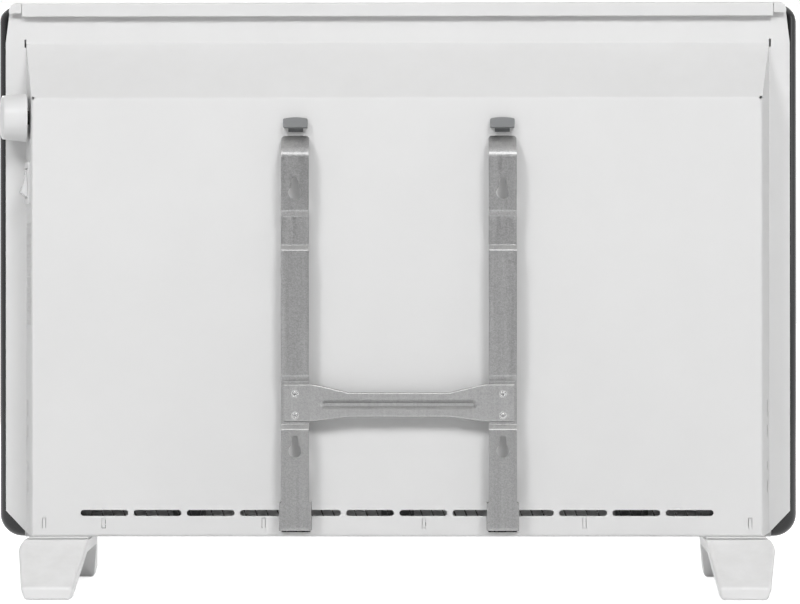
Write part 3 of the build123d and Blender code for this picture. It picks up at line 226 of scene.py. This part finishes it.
def scuffs():
    """Short faint rubs that change only the gloss."""
    tree, start, ends = effect("scuffs", {"Place": None, "Scale": 60.0}, ("Mask",))
    lines = noise(tree, stretched(tree, start["Place"], (1.0, 1.0, 9.0)), start["Scale"], 5.0, 0.7)
    more = noise(tree, stretched(tree, start["Place"], (8.0, 1.0, 1.0)), start["Scale"], 5.0, 0.7)
    both = plus(tree, times(tree, lines, 0.5), times(tree, more, 0.5))
    return finish_effect(tree, ends, Mask=spread(tree, both, 0.0, 1.0, 0.48, 0.72))


EFFECTS = {
    "coat": coat_skin(),
    "mould": mould_skin(),
    "zinc": zinc_skin(),
    "edge": worn_edge(),
    "dust": settled_dust(),
    "scuff": scuffs(),
}


def use_effect(tree, name, place, **values):
    """Places a shared effect in a material with the material's own values."""
    node = tree.nodes.new("ShaderNodeGroup")
    node.node_tree = EFFECTS[name]
    tree.links.new(place, node.inputs["Place"])
    for label, value in values.items():
        node.inputs[label.capitalize()].default_value = value
    return node.outputs


def new_material(name):
    """A material with its Principled shader and the piece's own coordinates."""
    material = bpy.data.materials.new(name)
    material.use_nodes = True
    tree = material.node_tree
    shader = tree.nodes["Principled BSDF"]
    place = tree.nodes.new("ShaderNodeTexCoord").outputs["Object"]
    return material, tree, shader, place


def relief(tree, shader, height, strength, depth):
    """Fine unevenness of a surface, as bump."""
    bump = put(tree, "ShaderNodeBump", {"Strength": strength, "Distance": depth, "Height": height})
    tree.links.new(bump.outputs[0], shader.inputs["Normal"])


def grey(level, tint=(1.0, 1.0, 1.0)):
    """A colour of one level, or tinted a little."""
    return (level * tint[0], level * tint[1], level * tint[2], 1.0)


def powder_coat(name, level, gloss):
    """Satin white coat baked on sheet steel."""
    material, tree, shader, place = new_material(name)
    skin = use_effect(tree, "coat", place, grain=850.0)
    dust = use_effect(tree, "dust", place, amount=0.22)["Mask"]
    rub = use_effect(tree, "edge", place, width=0.0005)["Mask"]
    scuff = use_effect(tree, "scuff", place, scale=48.0)["Mask"]
    clouds = spread(tree, skin["Cloud"], 0.0, 1.0, 0.35, 0.65)
    colour = blend_colours(tree, clouds, grey(level * 0.985), grey(level * 1.012))
    colour = blend_colours(tree, times(tree, rub, 0.35), colour, grey(level * 1.08))
    colour = blend_colours(tree, dust, colour, grey(level * 0.86, (1.0, 0.985, 0.96)))
    tree.links.new(colour, shader.inputs["Base Color"])
    rough = spread(tree, skin["Fine"], gloss - 0.04, gloss + 0.05, 0.3, 0.7)
    rough = plus(tree, rough, times(tree, scuff, 0.08))
    rough = plus(tree, rough, times(tree, dust, 0.6))
    tree.links.new(rough, shader.inputs["Roughness"])
    shader.inputs["Specular IOR Level"].default_value = 0.42
    relief(tree, shader, skin["Height"], 0.16, PEEL_DEPTH)
    return material


def moulded(name, colour, gloss, grain, bite, worn, bloom=0.0):
    """Injection-moulded plastic, lighter by worn at its edges; bloom is a pale film at low angles."""
    material, tree, shader, place = new_material(name)
    skin = use_effect(tree, "mould", place, grain=grain)
    dust = use_effect(tree, "dust", place, amount=0.25)["Mask"]
    rub = use_effect(tree, "edge", place, width=0.0006)["Mask"]
    scuff = use_effect(tree, "scuff", place, scale=90.0)["Mask"]
    darker = tuple(c * 0.965 for c in colour[:3]) + (1.0,)
    lighter = tuple(min(c * worn, 1.0) for c in colour[:3]) + (1.0,)
    clouds = spread(tree, skin["Cloud"], 0.0, 1.0, 0.3, 0.7)
    body = blend_colours(tree, clouds, darker, colour)
    body = blend_colours(tree, times(tree, rub, 0.6), body, lighter)
    body = blend_colours(tree, dust, body, (0.55, 0.54, 0.52, 1.0))
    tree.links.new(body, shader.inputs["Base Color"])
    rough = spread(tree, skin["Height"], gloss - 0.05, gloss + 0.06, 0.25, 0.7)
    rough = plus(tree, rough, times(tree, scuff, 0.12))
    tree.links.new(plus(tree, rough, times(tree, dust, 0.5)), shader.inputs["Roughness"])
    shader.inputs["Sheen Weight"].default_value = bloom
    shader.inputs["Sheen Roughness"].default_value = 0.3
    relief(tree, shader, skin["Height"], bite, MOULD_DEPTH)
    return material


def galvanised(name, low, high, gloss, crystal=900.0, bite=0.12):
    """Zinc-coated metal: fine crystals and rolling lines; what faces up turns dull and lighter grey,
    partly as dust and partly as painted light that lifts the shade at the bracket strips' tops.
    """
    material, tree, shader, place = new_material(name)
    skin = use_effect(tree, "zinc", place, crystal=crystal)
    rub = use_effect(tree, "edge", place, width=0.0007)["Mask"]
    # dust on upward faces, partly real dust and partly painted light: its lighter, less metallic grey
    # lifts the shaded tops of the bracket strips
    dust = use_effect(tree, "dust", place, amount=0.5)["Mask"]
    tone = spread(tree, skin["Tone"], 0.0, 1.0, 0.32, 0.68)
    colour = blend_colours(tree, tone, grey(low, (1.0, 1.0, 1.005)), grey(high))
    colour = blend_colours(tree, times(tree, rub, 0.2), colour, grey(min(high * 1.3, 0.95)))
    colour = blend_colours(tree, dust, colour, grey(0.5, (1.0, 0.98, 0.95)))
    tree.links.new(colour, shader.inputs["Base Color"])
    tree.links.new(spread(tree, dust, 1.0, 0.2), shader.inputs["Metallic"])
    rough = spread(tree, skin["Roughness"], gloss - 0.06, gloss + 0.08, 0.3, 0.7)
    rough = plus(tree, rough, times(tree, rub, 0.06))
    tree.links.new(rough, shader.inputs["Roughness"])
    relief(tree, shader, skin["Height"], bite, ZINC_DEPTH)
    return material


def glazed(name, colour):
    """Glazed ceramic with small pits."""
    material, tree, shader, place = new_material(name)
    skin = use_effect(tree, "mould", place, grain=700.0)
    pits = spread(tree, skin["Height"], 0.0, 1.0, 0.2, 0.5)
    darker = tuple(c * 0.8 for c in colour[:3]) + (1.0,)
    tree.links.new(blend_colours(tree, pits, darker, colour), shader.inputs["Base Color"])
    tree.links.new(spread(tree, skin["Cloud"], 0.12, 0.3, 0.3, 0.7), shader.inputs["Roughness"])
    relief(tree, shader, skin["Height"], 0.3, PIT_DEPTH)
    return material


FINISHES = {
    "casing_white": powder_coat("casing_coat", level=0.76, gloss=0.42),
    # the front coat is a little darker than the casing coat: painted shade that holds back the top
    # lamp's light on the front panel's hem
    "front_white": powder_coat("front_coat", level=0.74, gloss=0.38),
    "trim_charcoal": moulded(
        "trim_gloss", (0.006, 0.006, 0.007, 1.0), gloss=0.12, grain=2600.0, bite=0.04, worn=2.2,
        bloom=0.3,
    ),
    "grille_charcoal": moulded(
        "grille_plastic", (0.02, 0.02, 0.021, 1.0), gloss=0.45, grain=1600.0, bite=0.3, worn=2.0
    ),
    "zinc_sheet": galvanised(
        "zinc_sheet", low=0.255, high=0.355, gloss=0.34, crystal=1500.0, bite=0.01
    ),
    "duct_sheet": galvanised("duct_sheet", low=0.34, high=0.50, gloss=0.30, crystal=300.0),
    "element_metal": galvanised(
        "element_casting", low=0.22, high=0.34, gloss=0.55, crystal=900.0, bite=0.6
    ),
    "ceramic": glazed("ceramic_glaze", (0.78, 0.75, 0.68, 1.0)),
    "latch_grey": moulded(
        "latch_plastic", (0.22, 0.225, 0.23, 1.0), gloss=0.42, grain=1500.0, bite=0.3, worn=1.5
    ),
    "foot_white": moulded(
        "foot_plastic", (0.87, 0.87, 0.87, 1.0), gloss=0.4, grain=1500.0, bite=0.22, worn=1.06
    ),
    "knob_white": moulded(
        "knob_plastic", (0.78, 0.782, 0.785, 1.0), gloss=0.32, grain=2000.0, bite=0.12, worn=1.05
    ),
    "switch_body": moulded(
        "switch_plastic", (0.74, 0.742, 0.745, 1.0), gloss=0.4, grain=1900.0, bite=0.2, worn=1.06
    ),
    "switch_key": moulded(
        "rocker_plastic", (0.76, 0.762, 0.765, 1.0), gloss=0.25, grain=2200.0, bite=0.1, worn=1.05
    ),
    "control_dark": moulded(
        "control_plastic", (0.016, 0.016, 0.017, 1.0), gloss=0.5, grain=1400.0, bite=0.3, worn=2.0
    ),
    "terminal_white": moulded(
        "terminal_plastic", (0.68, 0.66, 0.6, 1.0), gloss=0.45, grain=1500.0, bite=0.3, worn=1.1
    ),
    "rivet_steel": galvanised(
        "rivet_plating", low=0.42, high=0.56, gloss=0.25, crystal=1500.0, bite=0.02
    ),
    "screw_steel": galvanised(
        "screw_plating", low=0.40, high=0.56, gloss=0.26, crystal=1400.0, bite=0.02
    ),
}


# nodes whose metal is darker or brighter than the rest of their slot; the intake guard's near-black
# is painted shade for the dark inside of the intake slots
OWN_FINISHES = {
    # painted shade: the guard's near-black colour stands in for the shade inside the intake slots
    "intake_guard": galvanised("guard_painted_shade", low=0.06, high=0.11, gloss=0.45),
    "bracket_crossbar": galvanised(
        "crossbar_zinc", low=0.30, high=0.40, gloss=0.34, crystal=1500.0, bite=0.01
    ),
}


def finish_nodes():
    """Gives every node its own finish, or that of its slot in the record."""
    for part in frame["record"]["subparts"]:
        piece = frame["nodes"][part["node"]]
        finish = OWN_FINISHES.get(part["node"], FINISHES[part["material_slot"]])
        piece.data.materials.clear()
        piece.data.materials.append(finish)


finish_nodes()


# ---------------------------------------------------------------- repeated small pieces
def shape_tree(name, lengths):
    """An empty geometry tree with one socket for each named length, and one for the finish."""
    tree = bpy.data.node_groups.new(name, "GeometryNodeTree")
    tree.interface.new_socket("Spots", in_out="INPUT", socket_type="NodeSocketGeometry")
    for label in lengths:
        tree.interface.new_socket(label, in_out="INPUT", socket_type="NodeSocketFloat")
    tree.interface.new_socket("Finish", in_out="INPUT", socket_type="NodeSocketMaterial")
    tree.interface.new_socket("Pieces", in_out="OUTPUT", socket_type="NodeSocketGeometry")
    return tree, tree.nodes.new("NodeGroupInput").outputs, tree.nodes.new("NodeGroupOutput").inputs


def xyz(tree, x=0.0, y=0.0, z=0.0):
    return put(tree, "ShaderNodeCombineXYZ", {"X": x, "Y": y, "Z": z}).outputs[0]


def moved(tree, form, rise):
    """The form, moved along its axis."""
    sockets = {"Geometry": form, "Translation": xyz(tree, z=rise)}
    return put(tree, "GeometryNodeTransform", sockets).outputs[0]


def round_bar(tree, radius, low, high):
    """A cylinder between two heights."""
    depth = plus(tree, high, times(tree, low, -1.0))
    sockets = {"Vertices": ROUND_STEPS, "Radius": radius, "Depth": depth}
    bar = put(tree, "GeometryNodeMeshCylinder", sockets).outputs["Mesh"]
    return moved(tree, bar, times(tree, plus(tree, low, high), 0.5))


def circle(tree, radius, steps):
    sockets = {"Resolution": steps, "Radius": radius}
    return put(tree, "GeometryNodeCurvePrimitiveCircle", sockets).outputs[0]


def joined(tree, forms):
    join = tree.nodes.new("GeometryNodeJoinGeometry")
    for form in forms:
        tree.links.new(form, join.inputs[0])
    return join.outputs[0]


def combined(tree, operation, forms, tools=()):
    """Union or overlap of the forms, or the one form less its tools."""
    node = put(tree, "GeometryNodeMeshBoolean", operation=operation, solver="EXACT")
    first, several = node.inputs[0], node.inputs[1]
    for form in forms:
        tree.links.new(form, first if operation == "DIFFERENCE" else several)
    for tool in tools:
        tree.links.new(tool, several)
    return node.outputs[0]


def planted(tree, start, ends, form, turn, spin):
    """One copy of the form on each spot, turned, each spun a little differently round its axis."""
    sockets = {"Points": start["Spots"], "Instance": form, "Rotation": turn}
    copies = put(tree, "GeometryNodeInstanceOnPoints", sockets).outputs[0]
    sockets = {2: 0.0, 3: spin, "Seed": SPIN_SEED}
    chance = put(tree, "FunctionNodeRandomValue", sockets, data_type="FLOAT")
    sockets = {"Instances": copies, "Rotation": xyz(tree, z=chance.outputs[1])}
    copies = put(tree, "GeometryNodeRotateInstances", sockets).outputs[0]
    whole = put(tree, "GeometryNodeRealizeInstances", {"Geometry": copies}).outputs[0]
    done = put(tree, "GeometryNodeSetMaterial", {"Geometry": whole, "Material": start["Finish"]})
    tree.links.new(done.outputs[0], ends["Pieces"])
    return tree


def screw_tree():
    """Domed screws with a cross recess, their heads facing down."""
    tree, start, ends = shape_tree("cross_screws", ("Head", "Dome", "Shank", "Length", "Recess"))
    sockets = {"Segments": ROUND_STEPS, "Rings": DOME_STEPS, "Radius": 1.0}
    ball = put(tree, "GeometryNodeMeshUVSphere", sockets).outputs[0]
    size = xyz(tree, start["Head"], start["Head"], start["Dome"])
    ball = put(tree, "GeometryNodeTransform", {"Geometry": ball, "Scale": size}).outputs[0]
    above = round_bar(tree, times(tree, start["Head"], 2.0), 0.0, times(tree, start["Dome"], 1.5))
    head = combined(tree, "INTERSECT", [ball, above])
    arm = times(tree, start["Recess"], RECESS_ARM_SHARE)
    deep = times(tree, start["Dome"], 1.1)
    bars = []
    for wide, long in ((arm, start["Recess"]), (start["Recess"], arm)):
        bar = put(tree, "GeometryNodeMeshCube", {"Size": xyz(tree, wide, long, deep)}).outputs[0]
        bars.append(moved(tree, bar, start["Dome"]))
    head = combined(tree, "DIFFERENCE", [head], bars)
    shank = round_bar(tree, start["Shank"], times(tree, start["Length"], -1.0), 0.0)
    screw = joined(tree, (head, shank))
    return planted(tree, start, ends, screw, turn=(pi, 0.0, 0.0), spin=pi / 2)


def rivet_tree():
    """Tubular rivets with a rolled rim on a flat collar, their heads facing the wall."""
    tree, start, ends = shape_tree("tube_rivets", ("Head", "Height", "Bore", "Length"))
    tube = times(tree, start["Height"], 0.5)
    collar = round_bar(tree, start["Head"], 0.0, times(tree, start["Height"], 0.42))
    ring_radius = plus(tree, start["Bore"], tube)
    sockets = {
        "Curve": circle(tree, ring_radius, ROUND_STEPS),
        "Profile Curve": circle(tree, tube, WIRE_STEPS),
    }
    rim = moved(tree, put(tree, "GeometryNodeCurveToMesh", sockets).outputs[0], tube)
    shank = round_bar(tree, ring_radius, times(tree, start["Length"], -1.0), tube)
    body = combined(tree, "UNION", [collar, shank])
    bore_end = times(tree, start["Length"], -0.8)
    bore = round_bar(tree, start["Bore"], bore_end, times(tree, start["Height"], 2.0))
    body = combined(tree, "DIFFERENCE", [body], [bore])
    rivet = joined(tree, (body, rim))
    return planted(tree, start, ends, rivet, turn=(-pi / 2, 0.0, 0.0), spin=pi)


def place_order(box):
    """Orders solids by height, then depth, then side, to a tenth of a millimetre."""
    return [round(value / MM, 1) for value in box[0].zyx]


def solids_of(node):
    """Lowest and highest corner of each separate solid in a node, always in the same order."""
    mesh = bmesh.new()
    mesh.from_mesh(frame["nodes"][node].data)
    bmesh.ops.remove_doubles(mesh, verts=mesh.verts, dist=WELD)
    left = set(mesh.verts)
    boxes = []
    while left:
        reached = [left.pop()]
        for point in reached:
            near = {edge.other_vert(point) for edge in point.link_edges} & left
            left -= near
            reached.extend(near)
        sides = list(zip(*(point.co for point in reached)))
        boxes.append((Vector(map(min, sides)), Vector(map(max, sides))))
    mesh.free()
    return sorted(boxes, key=place_order)


def grow(name, spots, tree, finish, **lengths):
    """Runs a geometry tree on a few spots and keeps the result as one mesh."""
    host_mesh = bpy.data.meshes.new(name + "_spots")
    host_mesh.from_pydata(spots, [], [])
    host = bpy.data.objects.new(name + "_spots", host_mesh)
    bpy.context.scene.collection.objects.link(host)
    modifier = host.modifiers.new(name, "NODES")
    modifier.node_group = tree
    values = {label.capitalize(): value for label, value in lengths.items()}
    values["Finish"] = finish
    for item in tree.interface.items_tree:
        if item.in_out == "INPUT" and item.name in values:
            modifier[item.identifier] = values[item.name]
    state = bpy.context.evaluated_depsgraph_get()
    mesh = bpy.data.meshes.new_from_object(host.evaluated_get(state))
    bpy.data.objects.remove(host)
    mesh.name = name
    mesh.polygons.foreach_set("use_smooth", [True] * len(mesh.polygons))
    mesh.set_sharp_from_angle(angle=radians(SMOOTH_UP_TO))
    piece = bpy.data.objects.new(name, mesh)
    bpy.context.scene.collection.objects.link(piece)
    return piece


def stand_in(piece, node):
    """Puts a piece on the heater's body in place of a node."""
    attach(piece, "heater")
    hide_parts(node)


def make_screws(node, name, head, dome):
    """Cross-recess screws where a node's plain ones are."""
    boxes = solids_of(node)
    spots = [((low.x + high.x) / 2, (low.y + high.y) / 2, low.z + dome) for low, high in boxes]
    length = boxes[0][1].z - boxes[0][0].z - dome
    piece = grow(
        name, spots, CROSS_SCREWS, FINISHES["screw_steel"], head=head, dome=dome,
        shank=head * SHANK_SHARE, length=length, recess=head * RECESS_SHARE,
    )
    stand_in(piece, node)


def make_rivets():
    """Rolled-rim rivets where the bracket's plain ones are."""
    boxes = solids_of("bracket_rivets")
    spots = [
        ((low.x + high.x) / 2, high.y - RIVET_HEIGHT, (low.z + high.z) / 2) for low, high in boxes
    ]
    low, high = boxes[0]
    piece = grow(
        "bracket_tube_rivets", spots, TUBE_RIVETS, FINISHES["rivet_steel"],
        head=(high.x - low.x) / 2, height=RIVET_HEIGHT, bore=RIVET_BORE,
        length=high.y - low.y - RIVET_HEIGHT,
    )
    stand_in(piece, "bracket_rivets")


CROSS_SCREWS = screw_tree()
TUBE_RIVETS = rivet_tree()
make_screws("foot_screws", "foot_cross_screws", head=3.9 * MM, dome=2.4 * MM)
make_screws("link_screws", "link_cross_screws", head=3.6 * MM, dome=2.4 * MM)
make_rivets()


# ---------------------------------------------------------------- studio
def softbox(name, place, target, size, watts):
    """A rectangular lamp at a place, turned to its target."""
    lamp = bpy.data.lights.new(name, "AREA")
    lamp.shape = "RECTANGLE"
    lamp.size, lamp.size_y = size
    lamp.energy = watts
    item = bpy.data.objects.new(name, lamp)
    bpy.context.scene.collection.objects.link(item)
    item.location = place
    way = Vector(target) - item.location
    item.rotation_euler = way.to_track_quat("-Z", "Y").to_euler()


def studio_floor():
    """Wide pale floor, lifted to white for the camera, with the heater's soft shadow."""
    mesh = bpy.data.meshes.new("studio_floor")
    corners = [
        (side * FLOOR_REACH, end * FLOOR_REACH, -FLOOR_DROP)
        for side, end in ((-1, -1), (1, -1), (1, 1), (-1, 1))
    ]
    mesh.from_pydata(corners, [], [(0, 1, 2, 3)])
    material = bpy.data.materials.new("studio_floor")
    material.use_nodes = True
    tree = material.node_tree
    tree.nodes.clear()
    path = tree.nodes.new("ShaderNodeLightPath").outputs
    matt = put(tree, "ShaderNodeBsdfDiffuse", {"Color": (0.88, 0.88, 0.88, 1.0)}).outputs[0]
    seen = path["Is Camera Ray"]
    for ray in ("Is Glossy Ray", "Is Transmission Ray"):
        sockets = {0: seen, 1: path[ray]}
        seen = put(tree, "ShaderNodeMath", sockets, operation="MAXIMUM").outputs[0]
    spot = tree.nodes.new("ShaderNodeNewGeometry").outputs["Position"]
    away = put(tree, "ShaderNodeVectorMath", {0: spot}, operation="LENGTH").outputs["Value"]
    lift = times(tree, seen, spread(tree, away, GLOW_NEAR, GLOW_FAR, GLOW_FROM, GLOW_TO))
    sockets = {"Color": (1.0, 1.0, 1.0, 1.0), "Strength": lift}
    glow = put(tree, "ShaderNodeEmission", sockets).outputs[0]
    both = put(tree, "ShaderNodeAddShader", {0: matt, 1: glow}).outputs[0]
    put(tree, "ShaderNodeOutputMaterial", {"Surface": both})
    mesh.materials.append(material)
    floor = bpy.data.objects.new("studio_floor", mesh)
    bpy.context.scene.collection.objects.link(floor)


def studio_world(ambient, bright_side, dark_room):
    """Soft light from all round. The camera sees white, and gloss a darker room behind the camera."""
    world = bpy.data.worlds.new("studio")
    world.use_nodes = True
    tree = world.node_tree
    path = tree.nodes.new("ShaderNodeLightPath").outputs
    way = tree.nodes.new("ShaderNodeTexCoord").outputs["Generated"]
    toward_room = put(tree, "ShaderNodeSeparateXYZ", {0: way}).outputs["Y"]
    mirrored = spread(tree, toward_room, bright_side, dark_room, 0.35, 0.9)
    mirrored = times(tree, path["Is Glossy Ray"], plus(tree, mirrored, -ambient))
    straight = plus(tree, path["Is Camera Ray"], path["Is Transmission Ray"])
    straight = times(tree, straight, 1.0 - ambient)
    back = tree.nodes["Background"]
    back.inputs["Color"].default_value = (1.0, 1.0, 1.0, 1.0)
    tree.links.new(plus(tree, plus(tree, mirrored, straight), ambient), back.inputs["Strength"])
    bpy.context.scene.world = world


def photo_camera():
    """Camera where the photograph was taken from, nearly straight behind the heater."""
    data = bpy.data.cameras.new("photo_camera")
    data.lens = CAMERA_LENS
    data.sensor_width = CAMERA_SENSOR
    data.clip_end = 100.0
    camera = bpy.data.objects.new("photo_camera", data)
    bpy.context.scene.collection.objects.link(camera)
    yaw, pitch, roll = radians(CAMERA_YAW), radians(CAMERA_PITCH), radians(CAMERA_ROLL)
    way = Vector((-sin(yaw) * cos(pitch), -cos(yaw) * cos(pitch), sin(pitch)))
    turn = way.to_track_quat("-Z", "Y").to_matrix().to_4x4() @ Matrix.Rotation(roll, 4, "Z")
    camera.matrix_world = Matrix.Translation(Vector(CAMERA_PLACE) * MM) @ turn
    bpy.context.scene.camera = camera


studio_floor()
studio_world(ambient=0.14, bright_side=1.0, dark_room=0.15)
for name, place, target, size, watts in SOFTBOXES:
    softbox(name, place, target, size, watts)
photo_camera()
bpy.context.scene.view_settings.view_transform = "Standard"
